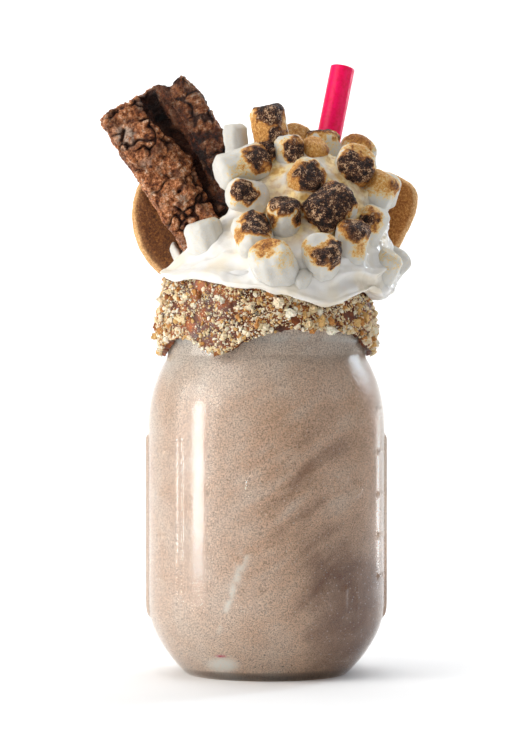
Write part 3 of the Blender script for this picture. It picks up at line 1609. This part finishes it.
@dataclass
class Brownie:
    """The brownie finger, with a crackled crust and a deep lengthwise split."""

    frame: dict
    top: Vector = Vector((-41.5, 6.5, 192.1)) * MM
    lean: float = 32.6
    half_length: float = 35.8 * MM
    face: float = 0.4 * MM
    split_at: float = 2.2 * MM
    split_depth: float = 2.6 * MM
    notch_at: float = 9.4 * MM
    notch_depth: float = 2.2 * MM
    plate_size: float = 9 * MM
    plate_depth: float = 1.6 * MM
    flake_size: float = 3.2 * MM
    flake_depth: float = 0.32 * MM
    # The middle of the pale spot at the upper left and its half sizes, in millimetres.
    spot: tuple[float, float, float] = (-12.0, -10.0, 27.0)
    spot_size: tuple[float, float, float] = (3.6, 6.0, 4.2)

    def local(self, points: np.ndarray) -> np.ndarray:
        """Turn points to the finger's own frame.

        Args:
            points: Positions in metres, one row each.

        Returns:
            The same points as across, deep and along, from the finger's middle.
        """
        place = Matrix.Translation(self.top) @ Matrix.Rotation(math.radians(-self.lean), 4, "Y")
        place = place @ Matrix.Translation(Vector((0, 0, -self.half_length)))
        back = np.array(place.inverted())
        return points @ back[:3, :3].T + back[:3, 3]

    def parts(self, points: np.ndarray) -> FingerParts:
        """Work out where the front, the split, the side right of it, the lobe, notch and tip are.

        Args:
            points: Points in the finger's own frame.

        Returns:
            The parts.
        """
        across, along = points[:, 0], points[:, 2]
        wander = self.split_at + 1.2 * MM * np.sin(along / (6 * MM))
        wander += 1.6 * MM * lumps(points * (0, 0, 1), 4 * MM)
        front = smooth_step(1 * MM, 5 * MM, -points[:, 1])
        mouth = (0.8 + 1.5 * smooth_step(10 * MM, 31 * MM, along)) * MM
        notch = np.exp(-((across - self.notch_at) / (1.9 * MM)) ** 2) * smooth_step(30 * MM, 35 * MM, along)
        return FingerParts(
            front=front,
            split=np.exp(-np.abs((across - wander) / mouth) ** 3) * front,
            right=smooth_step(0, 1.2 * MM, across - wander),
            lobe=smooth_step(7.5 * MM, 10 * MM, across) * smooth_step(5 * MM, 14 * MM, along),
            notch=notch,
            tip=smooth_step(28 * MM, 34 * MM, along))

    def build(self) -> None:
        """Build the brownie."""
        piece = fine_copy(self.frame["nodes"]["brownie"], "brownie_finger", self.face, 2)
        points = self.local(places_of(piece))
        part = self.parts(points)
        bends = [lumps(points, 3.5 * MM, shift) for shift in (1.0, 4.0, 8.0)]
        warp = points + 1.5 * MM * np.stack(bends, axis=1)
        shell = smooth_step(-0.25, 0.1, lumps(points, 9 * MM, 3.0))
        plates = np.exp(-(cell_edges(warp * (0.8, 1.0, 1.25), self.plate_size) / 0.06) ** 2) * shell
        flakes = np.exp(-(cell_edges(warp, self.flake_size, 2.0) / 0.08) ** 2)
        grain = 1.2 * lumps(points, 0.9 * MM) + lumps(points, 1.8 * MM, 5.0)
        streaks = lumps(points * (1.0, 1.0, 0.14), 1.4 * MM, 2.0) * part.right * part.front * (1 - part.lobe)
        push = 0.6 * MM * lumps(points, 7 * MM) + 0.4 * MM * lumps(points, 3 * MM, 3.0)
        push += 0.5 * MM * part.lobe * np.abs(lumps(points, 4.5 * MM, 6.0))
        push = push * (1 - 0.7 * part.tip) - 1.3 * MM * part.tip * part.lobe
        cracks = self.plate_depth * plates * (1 - 0.7 * part.right) + self.flake_depth * flakes
        push -= cracks + self.split_depth * part.split + self.notch_depth * part.notch
        push += 0.34 * MM * grain + 0.7 * MM * streaks
        push_out(piece, push)
        spot = (points - np.array(self.spot) * MM) / np.array(self.spot_size) / MM
        blotches = smooth_step(0.35, 0.6, lumps(points, 4 * MM, 11.0))
        pale = np.exp(-(spot ** 2).sum(axis=1) ** 2) + 0.4 * blotches * (1 - part.right)
        worn = 0.6 * smooth_step(0.1, 0.5, lumps(points, 5 * MM, 7.0))
        store(piece, "pale", np.clip(pale, 0, 1) * smooth_step(-0.6, 0.1, grain))
        bare = 0.8 * part.right * part.front * (1 - 0.5 * part.lobe)
        store(piece, "crust", np.clip(1 - bare - worn, 0, 1))
        store(piece, "crack", np.clip(plates + 0.35 * flakes + 1.5 * part.split + 0.5 * part.notch, 0, 1))
        place_piece(piece, BrownieFinish(), "brownie_cake", "brownie")


@dataclass
class Biscuits:
    """The two biscuits behind, with a dusty crumb surface."""

    frame: dict
    # Each biscuit's node, its turn round the upright in degrees, and how baked it looks.
    made: tuple[tuple[str, float, float], ...] = (
        ("biscuit_left", 6.0, 1.0), ("biscuit_right", -8.0, 0.0))
    face: float = 0.55 * MM

    def build(self) -> None:
        """Build both biscuits."""
        for name, turn, baked in self.made:
            piece = fine_copy(self.frame["nodes"][name], f"baked_{name}", self.face, 5)
            points = places_of(piece)
            facing = np.array((-math.sin(math.radians(turn)), math.cos(math.radians(turn)), 0.0))
            side = 1 - np.abs(normals_of(piece) @ facing)
            uneven = 0.15 * MM + 0.2 * MM * lumps(points, 4 * MM)
            push_out(piece, uneven + 0.13 * MM * lumps(points, 1.1 * MM))
            store(piece, "pale", smooth_step(0.02, 0.7, side + 0.12 * lumps(points, 3 * MM)))
            store(piece, "baked", np.full(len(points), baked))
            place_piece(piece, BiscuitFinish(), "biscuit", name)


# Studio


@dataclass(frozen=True)
class Lamp:
    """A soft box: where it stands, what it faces, its size and its power."""

    name: str
    place: tuple[float, float, float]
    wide: float
    tall: float
    power: float
    tint: Colour = WHITE
    target: tuple[float, float, float] = (0.0, 0.0, 0.11)

    def build(self) -> None:
        """Build the lamp."""
        light = bpy.data.lights.new(self.name, "AREA")
        light.shape = "RECTANGLE"
        light.size = self.wide
        light.size_y = self.tall
        light.energy = self.power
        light.color = self.tint
        holder = bpy.data.objects.new(self.name, light)
        bpy.context.scene.collection.objects.link(holder)
        holder.location = self.place
        holder.rotation_euler = (Vector(self.target) - Vector(self.place)).to_track_quat("-Z", "Y").to_euler()


@dataclass
class Studio:
    """The pale floor and sweep, the soft lights and the camera."""

    eye: Vector = Vector((-0.0038, -0.92, 0.111))
    look: Vector = Vector((-0.0038, 0.0, 0.0993))
    lens: float = 132.9
    floor_half: float = 3.0
    sweep_at: float = 0.7
    sweep_round: float = 1.1
    lamps: tuple[Lamp, ...] = (
        Lamp("key", (-1.1, -0.75, 0.95), 1.1, 1.1, 8.2, (1.0, 0.98, 0.95), (0.0, 0.0, 0.14)),
        Lamp("side", (-1.3, -0.4, 0.3), 1.2, 0.9, 9.6, (1.0, 0.99, 0.97), (0.0, 0.0, 0.06)),
        Lamp("fill", (1.2, -0.6, 0.5), 1.2, 1.2, 2.4, (0.97, 0.98, 1.0), (0.0, 0.0, 0.1)),
        Lamp("strip_left", (-0.41, -0.175, 0.1), 0.085, 0.19, 0.68, (0.98, 0.99, 1.0), (0.0, 0.0, 0.06)),
        Lamp("strip_right", (0.34, 0.33, 0.06), 0.05, 0.12, 0.07, (0.95, 0.98, 1.0), (0.0, 0.0, 0.06)),
        Lamp("glint", (0.58, 0.45, 0.48), 0.1, 0.42, 2.0, (0.8, 0.9, 1.0), (0.0, 0.0, 0.1)),
        Lamp("top", (-0.1, -0.2, 1.5), 1.2, 1.2, 5.0, WHITE, (0.0, 0.0, 0.0)),
        Lamp("backdrop", (0.0, 0.6, 1.2), 1.6, 0.8, 18.0, WHITE, (0.0, 1.5, 0.0)),
    )
    sky: float = 0.24

    def build_floor(self) -> None:
        """Build the floor, which curves up behind."""
        turns = np.radians(np.linspace(0, 90, 16))
        line = [(-self.floor_half, 0.0)]
        for turn in turns:
            back = self.sweep_at + self.sweep_round * math.sin(turn)
            line.append((back, self.sweep_round * (1 - math.cos(turn))))
        line.append((self.sweep_at + self.sweep_round, 2 * self.floor_half))
        points = np.array([(x, y, z) for y, z in line for x in (-self.floor_half, self.floor_half)])
        starts = np.arange(len(line) - 1) * 2
        floor = make_mesh("floor", points, np.stack((starts, starts + 1, starts + 3, starts + 2), axis=1))
        floor.data.materials.append(FloorFinish().material())

    def build_camera(self) -> None:
        """Build the camera at the photograph's viewing angle."""
        view = bpy.data.cameras.new("camera")
        view.lens = self.lens
        view.clip_start = 0.01
        holder = bpy.data.objects.new("camera", view)
        bpy.context.scene.collection.objects.link(holder)
        holder.location = self.eye
        holder.rotation_euler = (self.look - self.eye).to_track_quat("-Z", "Y").to_euler()
        bpy.context.scene.camera = holder

    def build(self) -> None:
        """Build the studio."""
        self.build_floor()
        self.build_camera()
        for lamp in self.lamps:
            lamp.build()
        world = bpy.data.worlds.new("sky")
        world.use_nodes = True
        glow = world.node_tree.nodes["Background"]
        glow.inputs["Color"].default_value = (*WHITE, 1.0)
        glow.inputs["Strength"].default_value = self.sky
        bpy.context.scene.world = world
        bpy.context.scene.view_settings.view_transform = "Standard"


def main() -> None:
    """Build the drink's looks round its solids."""
    logging.basicConfig(level=logging.INFO, format="%(name)s %(message)s")
    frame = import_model()
    jar = Jar()
    marshmallows = Marshmallows(frame)
    cream = Cream(jar, marshmallows.pieces)
    parts: tuple[Buildable, ...] = (
        Studio(), marshmallows, jar, Drink(jar), Straw(), CrumbBand(jar), cream, Brownie(frame),
        Biscuits(frame))
    for part in parts:
        part.build()


if __name__ == "__main__":
    main()
